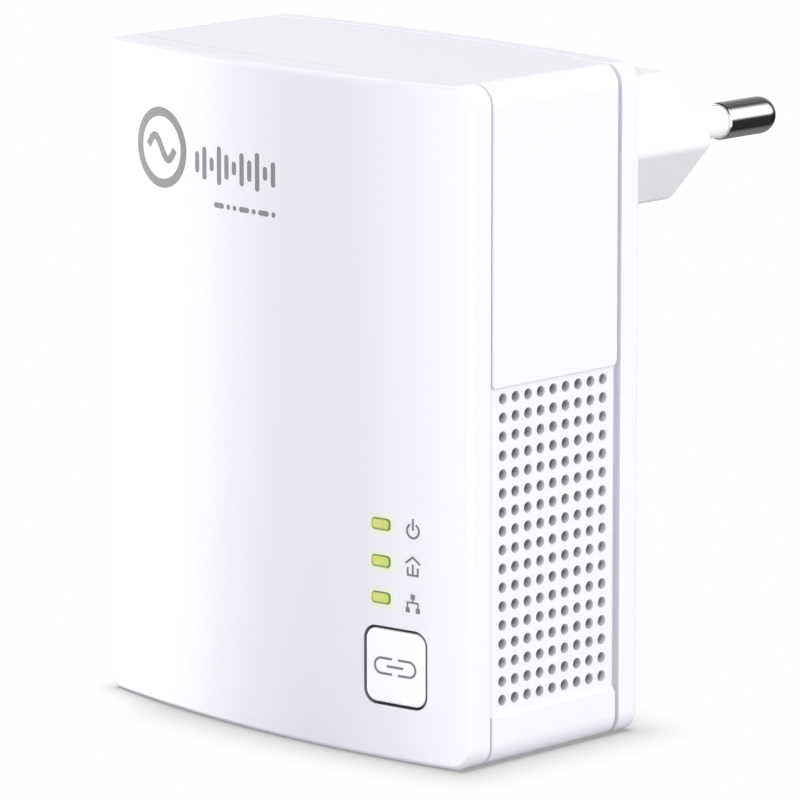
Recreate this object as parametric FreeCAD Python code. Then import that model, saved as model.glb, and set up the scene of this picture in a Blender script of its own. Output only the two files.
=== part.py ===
import FreeCAD, Part
import math, os

# Plug-in powerline network adapter, standing on its bottom face.
# Millimetres. +Z up, -Y is the front face, +Y is the wall side with the plug.
# Origin: middle of the bounding box in X and Y, bottom face in Z.

V = FreeCAD.Vector

# ---------------------------------------------------------------- dimensions
W = 53.5            # overall width (X)
H = 70.0            # overall height (Z)
CORNER_R = 2.3      # corner radius of the outline seen from the front
WALL = 2.0          # casing wall

Y_FRONT = -30.60    # front face where it meets the sides
SAG_FRONT = 2.825     # how far the front face bulges forward at its middle
Y_SEAM = -27.50     # rear edge of the front cover at the sides
SAG_SEAM = 1.8
SEAM_GAP = 0.20     # hairline joint between front cover and mid housing
Y_MID_REAR = -9.10  # rear edge of the mid housing at the sides
SAG_MID_REAR = 2.25
Y_REAR_RIM = -8.42  # front edge of the rear cover's rim at the sides
Y_REAR = -5.75      # rear face at the sides
SAG_REAR = 1.85
TONGUE_IN = 1.0     # inset of the covers' tongues from the outside
TONGUE_CLR = 0.08   # clearance of the tongues in the mid housing
TONGUE_LEN = 1.9
FRONT_EDGE_R = 0.55
REAR_EDGE_R = 0.6
SEAM_R = 0.12        # broken edge of the front cover at the seam
MID_R = 0.26         # rounded edges of the mid housing at seam and groove
RIM_R = 0.20         # rounded front edge of the rear cover

# side vents
VENT_Y0, VENT_Z0 = -25.56, 6.77
VENT_PY, VENT_PZ = 1.835, 1.947
VENT_NY, VENT_NZ = 9, 17
VENT_D = 1.15
RECESS = 0.28
RECESS_Z0, RECESS_Z1 = 5.33, 39.12
RECESS_R = 0.16      # edge between raised and sunk side panel
RECESS_ROLL = 0.40   # sunk panel rolls over into the rear groove
PANEL_R_REAR, PANEL_R_FRONT = 0.45, 0.35   # corners of the raised panels

# plug to the two-pin europlug pattern
PLUG_Z = 58.6
PIN_X = 9.5
PIN_D = 4.0
PIN_ROD_D = 2.6
SLEEVE_D = 3.4
BOSS_END = 14.925
SLEEVE_LEN = 10.1
PIN_METAL = 8.4
BOSS_FLAT = 12.4    # half width of the flats
BOSS_TIP = 18.5     # half width at the (unrounded) side ridges
BOSS_HALF = 6.85    # half height
BOSS_WALL = 2.0

# status lights and button
LED_X = 16.0
LED_Z = (24.49, 20.65, 16.84)
LED_W, LED_H = 2.45, 1.35
BTN_X, BTN_Z = 17.73, 9.82
BTN_W, BTN_H, BTN_R = 7.50, 7.76, 1.30
BTN_GAP = 0.25
BTN_TRAVEL = 0.40

# screw columns
COL_X, COL_Z0, COL_Z1 = 22.5, 4.4, 65.6
COL_R, SCREW_D = 2.4, 2.0

# boards
MB_Y0, MB_Y1 = -24.0, -22.4     # main board front and rear faces
MB_X, MB_Z0, MB_Z1 = 24.3, 2.5, 67.5
PB_Y0, PB_Y1 = -12.6, -11.0     # power board front and rear faces
PB_X, PB_Z0, PB_Z1 = 23.6, 25.5, 66.0

# ethernet jack, opening down
JK_X, JK_Y0, JK_Y1 = 7.95, -22.10, -9.45
JK_Z0, JK_Z1 = 0.45, 21.4
JK_SH = 0.25

NODES = {}


# ------------------------------------------------------------------- helpers
def box(x0, x1, y0, y1, z0, z1):
    return Part.makeBox(x1 - x0, y1 - y0, z1 - z0, V(x0, y0, z0))


def cyl(r, p, d, h):
    return Part.makeCylinder(r, h, V(*p), V(*d))


def cyl_y(r, x, z, y0, y1):
    return cyl(r, (x, y0, z), (0, 1, 0), y1 - y0)


def rrect(x0, x1, z0, z1, r, y0, y1):
    """Rounded rectangle in XZ, extruded along Y."""
    return rrect_plane(x0, x1, z0, z1, r, y0, y1)


def rrect_plane(x0, x1, z0, z1, r, y0, y1):
    e = []
    c = math.sqrt(0.5) * r
    pts = [(x1 - r, z0), (x1 - r, z0 + r), (x1, z0 + r)]

    def p(x, z):
        return V(x, y0, z)
    e.append(Part.LineSegment(p(x0 + r, z0), p(x1 - r, z0)))
    e.append(Part.Arc(p(x1 - r, z0), p(x1 - r + c, z0 + r - c), p(x1, z0 + r)))
    e.append(Part.LineSegment(p(x1, z0 + r), p(x1, z1 - r)))
    e.append(Part.Arc(p(x1, z1 - r), p(x1 - r + c, z1 - r + c), p(x1 - r, z1)))
    e.append(Part.LineSegment(p(x1 - r, z1), p(x0 + r, z1)))
    e.append(Part.Arc(p(x0 + r, z1), p(x0 + r - c, z1 - r + c), p(x0, z1 - r)))
    e.append(Part.LineSegment(p(x0, z1 - r), p(x0, z0 + r)))
    e.append(Part.Arc(p(x0, z0 + r), p(x0 + r - c, z0 + r - c), p(x0 + r, z0)))
    w = Part.Wire([s.toShape() for s in e])
    return Part.Face(w).extrude(V(0, y1 - y0, 0))


def outline(inset, y0=-40.0, y1=10.0):
    r = max(CORNER_R - inset, 0.35)
    return rrect(-W / 2 + inset, W / 2 - inset, inset, H - inset, r, y0, y1)


def arc_y(y_side, sag, x):
    """Y of a circular arc whose ends are y_side at x = +-W/2; sag > 0 bulges
    backward (+Y), sag < 0 forward (-Y)."""
    a, s = W / 2, abs(sag)
    rad = (a * a + s * s) / (2 * s)
    rise = math.sqrt(rad * rad - x * x) - (rad - s)
    return y_side + (rise if sag > 0 else -rise)


def slab(ya, sa, yb, sb, z0=-2.0, z1=H + 2.0, hx=W / 2 + 1.5):
    """Solid between two vertical curved sheets."""
    def pt(y, s, x):
        return V(x, arc_y(y, s, x), z0)
    e = [Part.Arc(pt(ya, sa, -hx), pt(ya, sa, 0), pt(ya, sa, hx)).toShape(),
         Part.LineSegment(pt(ya, sa, hx), pt(yb, sb, hx)).toShape(),
         Part.Arc(pt(yb, sb, hx), pt(yb, sb, 0), pt(yb, sb, -hx)).toShape(),
         Part.LineSegment(pt(yb, sb, -hx), pt(ya, sa, -hx)).toShape()]
    return Part.Face(Part.Wire(e)).extrude(V(0, 0, z1 - z0))


def fuse(*s):
    out = s[0]
    for t in s[1:]:
        out = out.fuse(t)
    return out.removeSplitter()


def cut(a, *s):
    out = a
    for t in s:
        out = out.cut(t)
    return out


def solids(shape):
    return shape.Solids


def edges_where(shape, test):
    return [e for e in shape.Edges if test(e)]


def on_sheet(e, y_side, sag):
    """True if an edge lies on the curved vertical sheet arc_y(y_side, sag)."""
    a, b = e.FirstParameter, e.LastParameter
    for k in (0.0, 0.3, 0.5, 0.7, 1.0):
        p = e.valueAt(a + (b - a) * k)
        if abs(p.y - arc_y(y_side, sag, p.x)) > 0.01:
            return False
    return True


def try_fillet(shape, r, edges):
    for f in (1.0, 0.8, 0.6, 0.4):
        try:
            s = shape.makeFillet(r * f, edges)
            if s.isValid() and s.Volume > 0:
                return s
        except Exception:
            pass
    print("fillet left out")
    return shape


def put(name, *shapes):
    parts = []
    for s in shapes:
        if isinstance(s, (list, tuple)):
            parts += list(s)
        else:
            parts += s.Solids
    NODES[name] = parts


def hexagon(d, y0, y1, r_tip=0.0, r_flat=0.0):
    """Plug boss prism, grown inward by d."""
    sl = math.hypot(BOSS_TIP - BOSS_FLAT, BOSS_HALF)
    # the sloping sides move inward by d, the flats by d
    h = BOSS_HALF - d
    nx, nz = BOSS_HALF / sl, (BOSS_TIP - BOSS_FLAT) / sl
    tip = BOSS_TIP - d / nx
    flat = tip - h * (BOSS_TIP - BOSS_FLAT) / BOSS_HALF
    pts = [(tip, 0), (flat, h), (-flat, h), (-tip, 0), (-flat, -h), (flat, -h)]
    vs = [V(x, y0, PLUG_Z + z) for x, z in pts]
    w = Part.makePolygon(vs + [vs[0]])
    s = Part.Face(w).extrude(V(0, y1 - y0, 0))
    if r_tip:
        e = [k for k in s.Edges if len(k.Vertexes) == 2 and
             abs(k.Vertexes[0].Y - k.Vertexes[1].Y) > 1 and abs(k.Vertexes[0].X) > tip - 0.01]
        s = try_fillet(s, r_tip, e)
    if r_flat:
        e = [k for k in s.Edges if len(k.Vertexes) == 2 and
             abs(k.Vertexes[0].Y - k.Vertexes[1].Y) > 1 and
             abs(abs(k.Vertexes[0].Z - PLUG_Z) - h) < 0.01 and abs(abs(k.Vertexes[0].X) - flat) < 0.01]
        s = try_fillet(s, r_flat, e)
    return s


def screw(x, z, y_seat, direction, head_d, head_h, shank_d, length, drive=1.5):
    """Self-tapping screw along Y; direction is +1 or -1 (way the shank points)."""
    head = cyl(head_d / 2, (x, y_seat - direction * head_h, z), (0, direction, 0), head_h)
    top = [e for e in head.Edges if abs(e.BoundBox.YMin - (y_seat - direction * head_h)) < 1e-6
           and abs(e.BoundBox.YMax - (y_seat - direction * head_h)) < 1e-6]
    head = try_fillet(head, 0.35, top)
    sh = cyl(shank_d / 2, (x, y_seat, z), (0, direction, 0), length - 0.6)
    ti = Part.makeCone(shank_d / 2, shank_d / 4, 0.6,
                       V(x, y_seat + direction * (length - 0.6), z), V(0, direction, 0))
    s = fuse(head, sh, ti)
    d0 = y_seat - direction * head_h
    d1 = d0 + direction * min(0.8, head_h * 0.6)
    ya, yb = sorted((d0, d1))
    w = 0.22
    c = fuse(box(x - drive / 2, x + drive / 2, ya, yb, z - w, z + w),
             box(x - w, x + w, ya, yb, z - drive / 2, z + drive / 2))
    return s.cut(c)


# ============================================================ front cover
btn_hole = rrect(BTN_X - BTN_W / 2 - BTN_GAP, BTN_X + BTN_W / 2 + BTN_GAP,
                 BTN_Z - BTN_H / 2 - BTN_GAP, BTN_Z + BTN_H / 2 + BTN_GAP,
                 BTN_R + BTN_GAP, -40, -20)

skin = outline(0).common(slab(Y_FRONT, -SAG_FRONT, Y_SEAM, -SAG_SEAM))
front_edges = edges_where(skin, lambda e: e.BoundBox.YMax < Y_FRONT + 0.02)
skin = try_fillet(skin, FRONT_EDGE_R, front_edges)
skin = try_fillet(skin, SEAM_R, edges_where(skin, lambda e: e.BoundBox.YMin > Y_SEAM - SAG_SEAM - 0.02
                                            and on_sheet(e, Y_SEAM, -SAG_SEAM)))
front = skin.cut(outline(WALL).common(slab(Y_FRONT + WALL, -SAG_FRONT, 0, -SAG_SEAM)))
tongue = cut(outline(TONGUE_IN + TONGUE_CLR), outline(WALL)).common(
    slab(Y_SEAM - 0.6, -SAG_SEAM, Y_SEAM + TONGUE_LEN, -SAG_SEAM))
front = fuse(front, tongue)
# snap beads on the tongue, top, bottom and sides
beads, pockets = [], []
for xc in (-15.0, 0.0, 15.0):
    yb = arc_y(Y_SEAM, -SAG_SEAM, xc) + 1.15
    for zs, z_in in ((1, H - TONGUE_IN - TONGUE_CLR), (-1, TONGUE_IN + TONGUE_CLR)):
        za, zb = sorted((z_in - zs * 0.3, z_in + zs * 0.32))
        beads.append(box(xc - 2.4, xc + 2.4, yb - 0.3, yb + 0.3, za, zb))
        za, zb = sorted((z_in - zs * 0.4, z_in + zs * 0.42))
        pockets.append(box(xc - 2.6, xc + 2.6, yb - 0.5, yb + 0.5, za, zb))
for sx in (-1, 1):
    for zc in (47.0, 60.0):
        x_in = W / 2 - TONGUE_IN - TONGUE_CLR
        yb = arc_y(Y_SEAM, -SAG_SEAM, x_in) + 1.15
        xa, xb = sorted((sx * (x_in - 0.3), sx * (x_in + 0.32)))
        beads.append(box(xa, xb, yb - 0.3, yb + 0.3, zc - 2.4, zc + 2.4))
        xa, xb = sorted((sx * (x_in - 0.4), sx * (x_in + 0.42)))
        pockets.append(box(xa, xb, yb - 0.5, yb + 0.5, zc - 2.6, zc + 2.6))
front = fuse(front, *beads)
# guide frame behind the button hole
g = 0.8
GUIDE_Y = -29.40
guide = rrect(BTN_X - BTN_W / 2 - BTN_GAP - g, BTN_X + BTN_W / 2 + BTN_GAP + g,
              BTN_Z - BTN_H / 2 - BTN_GAP - g, BTN_Z + BTN_H / 2 + BTN_GAP + g,
              BTN_R + BTN_GAP + g, -32.0, GUIDE_Y)
guide = guide.common(slab(Y_FRONT + 1.0, -SAG_FRONT, 0, -SAG_SEAM))
front = fuse(front, guide).cut(btn_hole)
# stakes for the light pipe
BAR_Y0, BAR_Y1 = -29.95, -28.75
stakes = [cyl_y(0.6, 12.4, z, -31.5, BAR_Y1 - 0.35) for z in (23.0, 18.3)]
stakes += [cyl_y(0.95, 12.4, z, BAR_Y1, BAR_Y1 + 0.45) for z in (23.0, 18.3)]
stakes += [cyl_y(0.6, 12.4, z, -29.8, BAR_Y1 + 0.1) for z in (23.0, 18.3)]
stakes = fuse(*stakes).common(slab(Y_FRONT + 1.0, -SAG_FRONT, 0, -SAG_SEAM))
front = fuse(front, stakes)
for z in LED_Z:
    front = front.cut(rrect(LED_X - LED_W / 2, LED_X + LED_W / 2, z - LED_H / 2, z + LED_H / 2,
                            0.45, -40, -29.0))
put("front_cover", front)

# ============================================================ mid housing
mid = outline(0).common(slab(Y_SEAM + SEAM_GAP, -SAG_SEAM, Y_MID_REAR, SAG_MID_REAR))
mid = try_fillet(mid, MID_R, edges_where(mid, lambda e: on_sheet(e, Y_SEAM + SEAM_GAP, -SAG_SEAM)))
# sunk panels on both sides; the corners of the raised panels are rounded
for sx in (-1, 1):
    xa, xb = sorted((sx * (W / 2 - RECESS), sx * (W / 2 + 2)))
    tool = box(xa, xb, -32, -5, RECESS_Z0, RECESS_Z1)
    for zb, up in ((RECESS_Z0, -1), (RECESS_Z1, 1)):
        for yr, r, way in ((Y_MID_REAR, PANEL_R_REAR, -1), (Y_SEAM + SEAM_GAP, PANEL_R_FRONT, 1)):
            ya, yb = sorted((yr - way * 1.0, yr + way * r))
            corner = box(xa, xb, ya, yb, min(zb, zb + up * r), max(zb, zb + up * r))
            corner = corner.cut(cyl(r, (xa - 1, yr + way * r, zb + up * r), (1, 0, 0), 6))
            tool = tool.fuse(corner)
    mid = mid.cut(tool.removeSplitter())
# the sunk panels roll over into the rear groove
for sx in (-1, 1):
    xs = sx * (W / 2 - RECESS)
    ye = arc_y(Y_MID_REAR, SAG_MID_REAR, W / 2 - RECESS)
    q = RECESS_ROLL
    xa, xb = sorted((xs - sx * q, xs + sx * 1.0))
    roll = box(xa, xb, ye - q, ye + 0.6, RECESS_Z0, RECESS_Z1)
    mid = mid.cut(roll.cut(cyl(q, (xs - sx * q, ye - q, RECESS_Z0 - 1), (0, 0, 1), RECESS_Z1 - RECESS_Z0 + 2)))
lips = [e for e in mid.Edges if e.BoundBox.XLength < 0.01 and abs(abs(e.BoundBox.XMax) - W / 2) < 0.01
        and e.BoundBox.ZLength < 0.01 and e.BoundBox.YLength > 5
        and min(abs(e.BoundBox.ZMin - RECESS_Z0), abs(e.BoundBox.ZMin - RECESS_Z1)) < 0.01]
mid = try_fillet(mid, RECESS_R, lips)
mid = mid.cut(outline(WALL))
mid = cut(mid,
          outline(TONGUE_IN).common(slab(Y_SEAM - 2, -SAG_SEAM, Y_SEAM + TONGUE_LEN + 0.15, -SAG_SEAM)),
          outline(TONGUE_IN).common(slab(Y_MID_REAR - TONGUE_LEN - 0.15, SAG_MID_REAR,
                                         Y_MID_REAR + 3, SAG_MID_REAR)))
cols = []
inner = outline(WALL - 0.2)
for sx in (-1, 1):
    for z in (COL_Z0, COL_Z1):
        c = cyl_y(COL_R, sx * COL_X, z, MB_Y1, -11.6)
        zw = 0.5 if z < 35 else H - 0.5
        web = box(min(sx * (COL_X - 0.7), sx * (COL_X + 0.7)), max(sx * (COL_X - 0.7), sx * (COL_X + 0.7)),
                  MB_Y1, -11.6, min(z, zw), max(z, zw))
        web2 = box(min(sx * COL_X, sx * (W / 2 - 0.5)), max(sx * COL_X, sx * (W / 2 - 0.5)),
                   MB_Y1, -11.6, z - 0.7, z + 0.7)
        cols += [c.common(inner), web.common(inner), web2.common(inner)]
mid = fuse(mid, *cols)
# ribs that hold the edges of the power board
for sx in (-1, 1):
    for zc in (31.0, 58.0):
        xa, xb = sorted((sx * (W / 2 - WALL + 0.4), sx * (PB_X - 1.1)))
        mid = fuse(mid, box(xa, xb, PB_Y0 - 1.6, PB_Y0 - 0.02, zc - 1.0, zc + 1.0))
for sx in (-1, 1):
    for z in (COL_Z0, COL_Z1):
        mid = mid.cut(cyl_y(SCREW_D / 2, sx * COL_X, z, MB_Y1 - 1, -11.0))
mid = cut(mid, *pockets)
# rows of vent holes in the sunk panels
holes = []
for sx in (-1, 1):
    for i in range(VENT_NY):
        for j in range(VENT_NZ):
            y, z = VENT_Y0 + i * VENT_PY, VENT_Z0 + j * VENT_PZ
            holes.append(cyl(VENT_D / 2, (sx * (W / 2 - 4), y, z), (sx, 0, 0), 6))
mid = mid.cut(Part.makeCompound(holes))
# ethernet opening in the bottom wall
mid = mid.cut(box(-JK_X - JK_SH - 0.15, JK_X + JK_SH + 0.15,
                              JK_Y0 - JK_SH - 0.15, JK_Y1 + JK_SH + 0.15, -1, WALL + 1))
put("mid_housing", mid)

# ============================================================ rear cover
rim = outline(0).common(slab(Y_REAR_RIM, SAG_MID_REAR, Y_REAR, SAG_REAR))
rear_edges = edges_where(rim, lambda e: e.BoundBox.YMin > Y_REAR - 0.02)
rim = try_fillet(rim, REAR_EDGE_R, rear_edges)
rim = try_fillet(rim, RIM_R, edges_where(rim, lambda e: on_sheet(e, Y_REAR_RIM, SAG_MID_REAR)))
rear = rim.cut(outline(WALL).common(slab(-20, SAG_MID_REAR, Y_REAR - WALL, SAG_REAR)))
spigot = cut(outline(TONGUE_IN + TONGUE_CLR), outline(WALL)).common(
    slab(Y_MID_REAR - TONGUE_LEN, SAG_MID_REAR, Y_REAR_RIM + 0.6, SAG_MID_REAR))
rear = fuse(rear, spigot)
boss = hexagon(0, -6.0, BOSS_END, 1.3, 1.6)
end_edges = edges_where(boss, lambda e: e.BoundBox.YMin > BOSS_END - 0.01)
boss = try_fillet(boss, 0.8, end_edges)
boss = boss.common(slab(Y_REAR - 1.2, SAG_REAR, 20, SAG_REAR))
rear = fuse(rear, boss)
BOSS_IN = BOSS_END - 3.0
rear = rear.cut(hexagon(BOSS_WALL, -9.0, BOSS_IN))
# bearing tubes of the pins and the two retainer posts stay inside the boss
posts = []
for x in (-4.2, 4.2):
    posts.append(cyl_y(1.9, x, PLUG_Z, 8.0, BOSS_IN + 0.5))
rear = fuse(rear, *posts)
for x in (-4.2, 4.2):
    rear = rear.cut(cyl_y(0.9, x, PLUG_Z, 6.0, BOSS_IN + 1.0))
for x in (-PIN_X, PIN_X):
    rear = rear.cut(cyl_y(SLEEVE_D / 2, x, PLUG_Z, BOSS_IN - 1, BOSS_END + 1))
# case screw tubes
CS_SEAT = -8.3
for sx in (-1, 1):
    for z in (COL_Z0, COL_Z1):
        rear = fuse(rear,
                    cyl_y(2.9, sx * COL_X, z, -11.55, -7.0).common(outline(WALL + 0.1)),
                    cyl_y(2.9, sx * COL_X, z, -9.6, -7.0).common(outline(WALL - 0.3)))
for sx in (-1, 1):
    for z in (COL_Z0, COL_Z1):
        rear = rear.cut(cyl_y(2.05, sx * COL_X, z, CS_SEAT, 0.0))
        rear = rear.cut(cyl_y(1.12, sx * COL_X, z, -13.0, 0.0))
# posts for the power board
PP_X, PP_Z = 20.8, 47.0
for sx in (-1, 1):
    rear = fuse(rear, cyl_y(2.2, sx * PP_X, PP_Z, PB_Y1, -6.6))
    rear = rear.cut(cyl_y(0.9, sx * PP_X, PP_Z, PB_Y1 - 1, -7.6))
put("rear_cover", rear)

# rating label: blank plate on the rear face
lab = rrect(-17.5, 17.5, 9.0, 41.0, 1.2, -20, 5).common(
    slab(Y_REAR, SAG_REAR, Y_REAR + 0.15, SAG_REAR))
put("rating_label", lab)

# ============================================================ plug
pins, sleeves, terms = [], [], []
Y_STEP = BOSS_END + SLEEVE_LEN
Y_TIP = Y_STEP + PIN_METAL
COLLAR = 1.6
for x in (-PIN_X, PIN_X):
    head = cyl_y(PIN_D / 2, x, PLUG_Z, Y_STEP, Y_TIP - PIN_D / 2)
    e = [k for k in head.Edges if abs(k.BoundBox.YMin - Y_STEP) < 1e-6 and abs(k.BoundBox.YMax - Y_STEP) < 1e-6]
    head = try_fillet(head, 0.2, e)
    tip = Part.makeSphere(PIN_D / 2, V(x, Y_TIP - PIN_D / 2, PLUG_Z)).common(
        box(x - 3, x + 3, Y_TIP - PIN_D / 2, Y_TIP + 1, PLUG_Z - 3, PLUG_Z + 3))
    rod = cyl_y(PIN_ROD_D / 2, x, PLUG_Z, -10.3, Y_STEP + 0.5)
    col = cyl_y(2.6, x, PLUG_Z, BOSS_IN - COLLAR, BOSS_IN)
    pins.append(fuse(head, tip, rod, col))
    sl = cyl_y(SLEEVE_D / 2, x, PLUG_Z, BOSS_IN, Y_STEP).cut(
        cyl_y(PIN_ROD_D / 2, x, PLUG_Z, BOSS_IN - 1, Y_STEP + 1))
    sleeves.append(sl)
    cup = cyl_y(2.2, x, PLUG_Z, PB_Y1, -6.6).cut(cyl_y(PIN_ROD_D / 2, x, PLUG_Z, -10.35, -6.0))
    leg = cyl_y(0.6, x, PLUG_Z, PB_Y0 - 0.9, PB_Y1)
    terms.append(fuse(cup, leg))
put("plug_pins", *pins)
put("pin_sleeves", *sleeves)
put("pin_terminals", *terms)
# retainer plate that clamps the pin collars
RT_Y1 = BOSS_IN - COLLAR
ret = rrect(-13.2, 13.2, PLUG_Z - 3.6, PLUG_Z + 3.6, 1.6, RT_Y1 - 2.6, RT_Y1)
for x in (-PIN_X, PIN_X):
    ret = ret.cut(cyl_y(PIN_ROD_D / 2 + 0.05, x, PLUG_Z, 0, 20))
for x in (-4.2, 4.2):
    ret = ret.cut(cyl_y(1.95, x, PLUG_Z, 8.0, 20))
    ret = ret.cut(cyl_y(1.1, x, PLUG_Z, 0, 20))
put("pin_retainer", ret)
put("retainer_screws", *[screw(x, PLUG_Z, RT_Y1 - 2.6, 1, 3.6, 1.3, 1.8, 5.0) for x in (-4.2, 4.2)])

# ============================================================ light pipe, button
fingers = []
for z in LED_Z:
    f = rrect(LED_X - LED_W / 2, LED_X + LED_W / 2, z - LED_H / 2, z + LED_H / 2, 0.45, -40, -25.2)
    fingers.append(f.common(slab(Y_FRONT, -SAG_FRONT, 0, -SAG_SEAM)))
bar = rrect(10.9, 17.6, 15.6, 25.7, 0.6, BAR_Y0, BAR_Y1)
for z in (23.0, 18.3):
    bar = bar.cut(cyl_y(0.6, 12.4, z, -32, -25))
put("led_light_pipe", fuse(bar, *fingers))

cap = rrect(BTN_X - BTN_W / 2, BTN_X + BTN_W / 2, BTN_Z - BTN_H / 2, BTN_Z + BTN_H / 2, BTN_R,
            -40, -28.5).common(slab(Y_FRONT, -SAG_FRONT, 0, -SAG_SEAM))
ce = edges_where(cap, lambda e: e.BoundBox.YMax < Y_FRONT - 0.4)
cap = try_fillet(cap, 0.25, ce)
FL_Y0 = GUIDE_Y + 0.12
flange = rrect(BTN_X - BTN_W / 2 - 0.9, BTN_X + BTN_W / 2 + 0.9, BTN_Z - BTN_H / 2 - 0.9,
               BTN_Z + BTN_H / 2 + 0.9, 1.6, FL_Y0, FL_Y0 + 0.75)
STEM_Y = -28.20
stem = cyl_y(2.0, BTN_X, BTN_Z, FL_Y0, STEM_Y)
put("pair_button", fuse(cap, flange, stem))

# tactile switch: base, cover plate and plunger
SW_Y = MB_Y0
base = box(BTN_X - 3, BTN_X + 3, SW_Y - 3.1, SW_Y, BTN_Z - 3, BTN_Z + 3)
base = base.cut(cyl_y(1.85, BTN_X, BTN_Z, SW_Y - 4, SW_Y - 1.8))
put("switch_base", base)
plate = box(BTN_X - 3, BTN_X + 3, SW_Y - 3.35, SW_Y - 3.1, BTN_Z - 3, BTN_Z + 3)
plate = plate.cut(cyl_y(1.85, BTN_X, BTN_Z, SW_Y - 4, SW_Y))
put("switch_cover", plate)
plunger = fuse(cyl_y(1.7, BTN_X, BTN_Z, STEM_Y, SW_Y - 2.4))
put("switch_plunger", plunger)
dome = Part.makeCone(1.8, 1.2, 0.35, V(BTN_X, SW_Y - 1.8, BTN_Z), V(0, -1, 0))
put("switch_contacts", [fuse(box(x - 0.35, x + 0.35, SW_Y, MB_Y1 + 0.8, z - 0.35, z + 0.35),
                             box(x - 0.35, x + 0.35, SW_Y - 0.6, SW_Y, z - 0.35, z + 0.35))
                        for x in (BTN_X - 3.35, BTN_X + 3.35) for z in (BTN_Z - 2.25, BTN_Z + 2.25)])

# ============================================================ main board
mb = rrect(-MB_X, MB_X, MB_Z0, MB_Z1, 1.0, MB_Y0, MB_Y1)
for sx in (-1, 1):
    for z in (COL_Z0, COL_Z1):
        mb = mb.cut(cyl_y(1.15, sx * COL_X, z, -30, -20))
for x in (BTN_X - 3.35, BTN_X + 3.35):
    for z in (BTN_Z - 2.25, BTN_Z + 2.25):
        mb = mb.cut(box(x - 0.35, x + 0.35, -30, -20, z - 0.35, z + 0.35))
HD_X0, HD_N, HD_P, HD_Z = -20.0, 5, 2.54, 27.2
for i in range(HD_N):
    x = HD_X0 + i * HD_P
    mb = mb.cut(box(x - 0.32, x + 0.32, -30, -20, HD_Z - 0.32, HD_Z + 0.32))
JP = [(-4.445 + 1.27 * i, 14.2 if i % 2 else 16.7) for i in range(8)]
for x, z in JP:
    mb = mb.cut(cyl_y(0.3, x, z, -30, -20))
for x in (-5.9, 5.9):
    mb = mb.cut(cyl_y(0.8, x, 9.5, -30, -20))
put("main_board", mb)
put("board_screws", *[screw(sx * COL_X, z, MB_Y0, 1, 3.6, 1.2, SCREW_D, 5.5)
                      for sx in (-1, 1) for z in (COL_Z0, COL_Z1)])
put("case_screws", *[screw(sx * COL_X, z, CS_SEAT, -1, 3.8, 1.5, SCREW_D, 9.0, 2.0)
                     for sx in (-1, 1) for z in (COL_Z0, COL_Z1)])
put("status_leds", *[box(LED_X - 1.0, LED_X + 1.0, MB_Y0 - 0.8, MB_Y0, z - 0.62, z + 0.62) for z in LED_Z])

CH_X, CH_Z = -2.0, 43.0
put("powerline_chip", box(CH_X - 6, CH_X + 6, MB_Y0 - 1.0, MB_Y0, CH_Z - 6, CH_Z + 6))
put("thermal_pad", box(CH_X - 6.5, CH_X + 6.5, MB_Y0 - 1.5, MB_Y0 - 1.0, CH_Z - 6.5, CH_Z + 6.5))
hs = box(CH_X - 8, CH_X + 8, MB_Y0 - 2.7, MB_Y0 - 1.5, CH_Z - 8, CH_Z + 8)
fins = [box(CH_X - 8 + 2.5 * i, CH_X - 8 + 2.5 * i + 1.0, MB_Y0 - 5.2, MB_Y0 - 2.7, CH_Z - 8, CH_Z + 8)
        for i in range(7)]
put("heat_sink", fuse(hs, *fins))
put("ethernet_phy_chip", box(-7.0, -1.0, MB_Y0 - 0.9, MB_Y0, 21.5, 27.5))
put("memory_chips", box(10.0, 18.0, MB_Y0 - 1.1, MB_Y0, 38.0, 50.0), box(-19.5, -14.5, MB_Y0 - 1.4, MB_Y0, 40.0, 44.0))
put("crystals", box(-2.6, 0.6, MB_Y0 - 0.8, MB_Y0, 30.5, 33.0), box(1.2, 4.4, MB_Y0 - 0.8, MB_Y0, 23.0, 25.5))
put("ethernet_transformer", box(-20.2, -7.5, MB_Y0 - 4.6, MB_Y0, 8.0, 17.5))
put("regulator_chips", box(-19.0, -14.0, MB_Y0 - 1.6, MB_Y0, 30.0, 34.0), box(10.0, 13.0, MB_Y0 - 1.3, MB_Y0, 55.0, 58.0))
put("power_inductors", box(-20.0, -15.0, MB_Y0 - 2.8, MB_Y0, 20.0, 25.0), box(15.5, 19.5, MB_Y0 - 2.8, MB_Y0, 54.5, 58.5))

# ============================================================ ethernet jack
jk = box(-JK_X, JK_X, JK_Y0, JK_Y1, JK_Z0, JK_Z1)
# plug cavity: main bay, latch bay and latch slot, open at the bottom
CAV_X, CAV_Y0, CAV_Y1, CAV_ZT = 5.95, -20.6, -13.6, 15.2
jk = jk.cut(box(-CAV_X, CAV_X, CAV_Y0, CAV_Y1, -1, CAV_ZT))
jk = jk.cut(box(-3.2, 3.2, CAV_Y1 - 0.1, CAV_Y1 + 1.6, -1, CAV_ZT))
jk = jk.cut(box(-1.9, 1.9, CAV_Y1 + 1.5, CAV_Y1 + 2.9, -1, 9.0))
cw = 0.40
slots = [box(-4.445 + 1.27 * i - cw / 2 - 0.05, -4.445 + 1.27 * i + cw / 2 + 0.05, CAV_Y0 - 0.75, CAV_Y0 + 0.1, -1, 17.2)
         for i in range(8)]
slots += [box(-4.445 + 1.27 * i - cw / 2 - 0.05, -4.445 + 1.27 * i + cw / 2 + 0.05, CAV_Y0 - 0.75, CAV_Y0 + 1.6, CAV_ZT - 0.5, 17.2)
          for i in range(8)]
jk = jk.cut(Part.makeCompound(slots[:8])).cut(Part.makeCompound(slots[8:]))
for x, z in JP:
    jk = jk.cut(cyl_y(0.3, x, z, JK_Y0 - 1, CAV_Y0 - 0.3))
for x in (-5.9, 5.9):
    jk = fuse(jk, cyl_y(0.75, x, 9.5, MB_Y0 - 0.3, JK_Y0 + 0.2))
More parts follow.
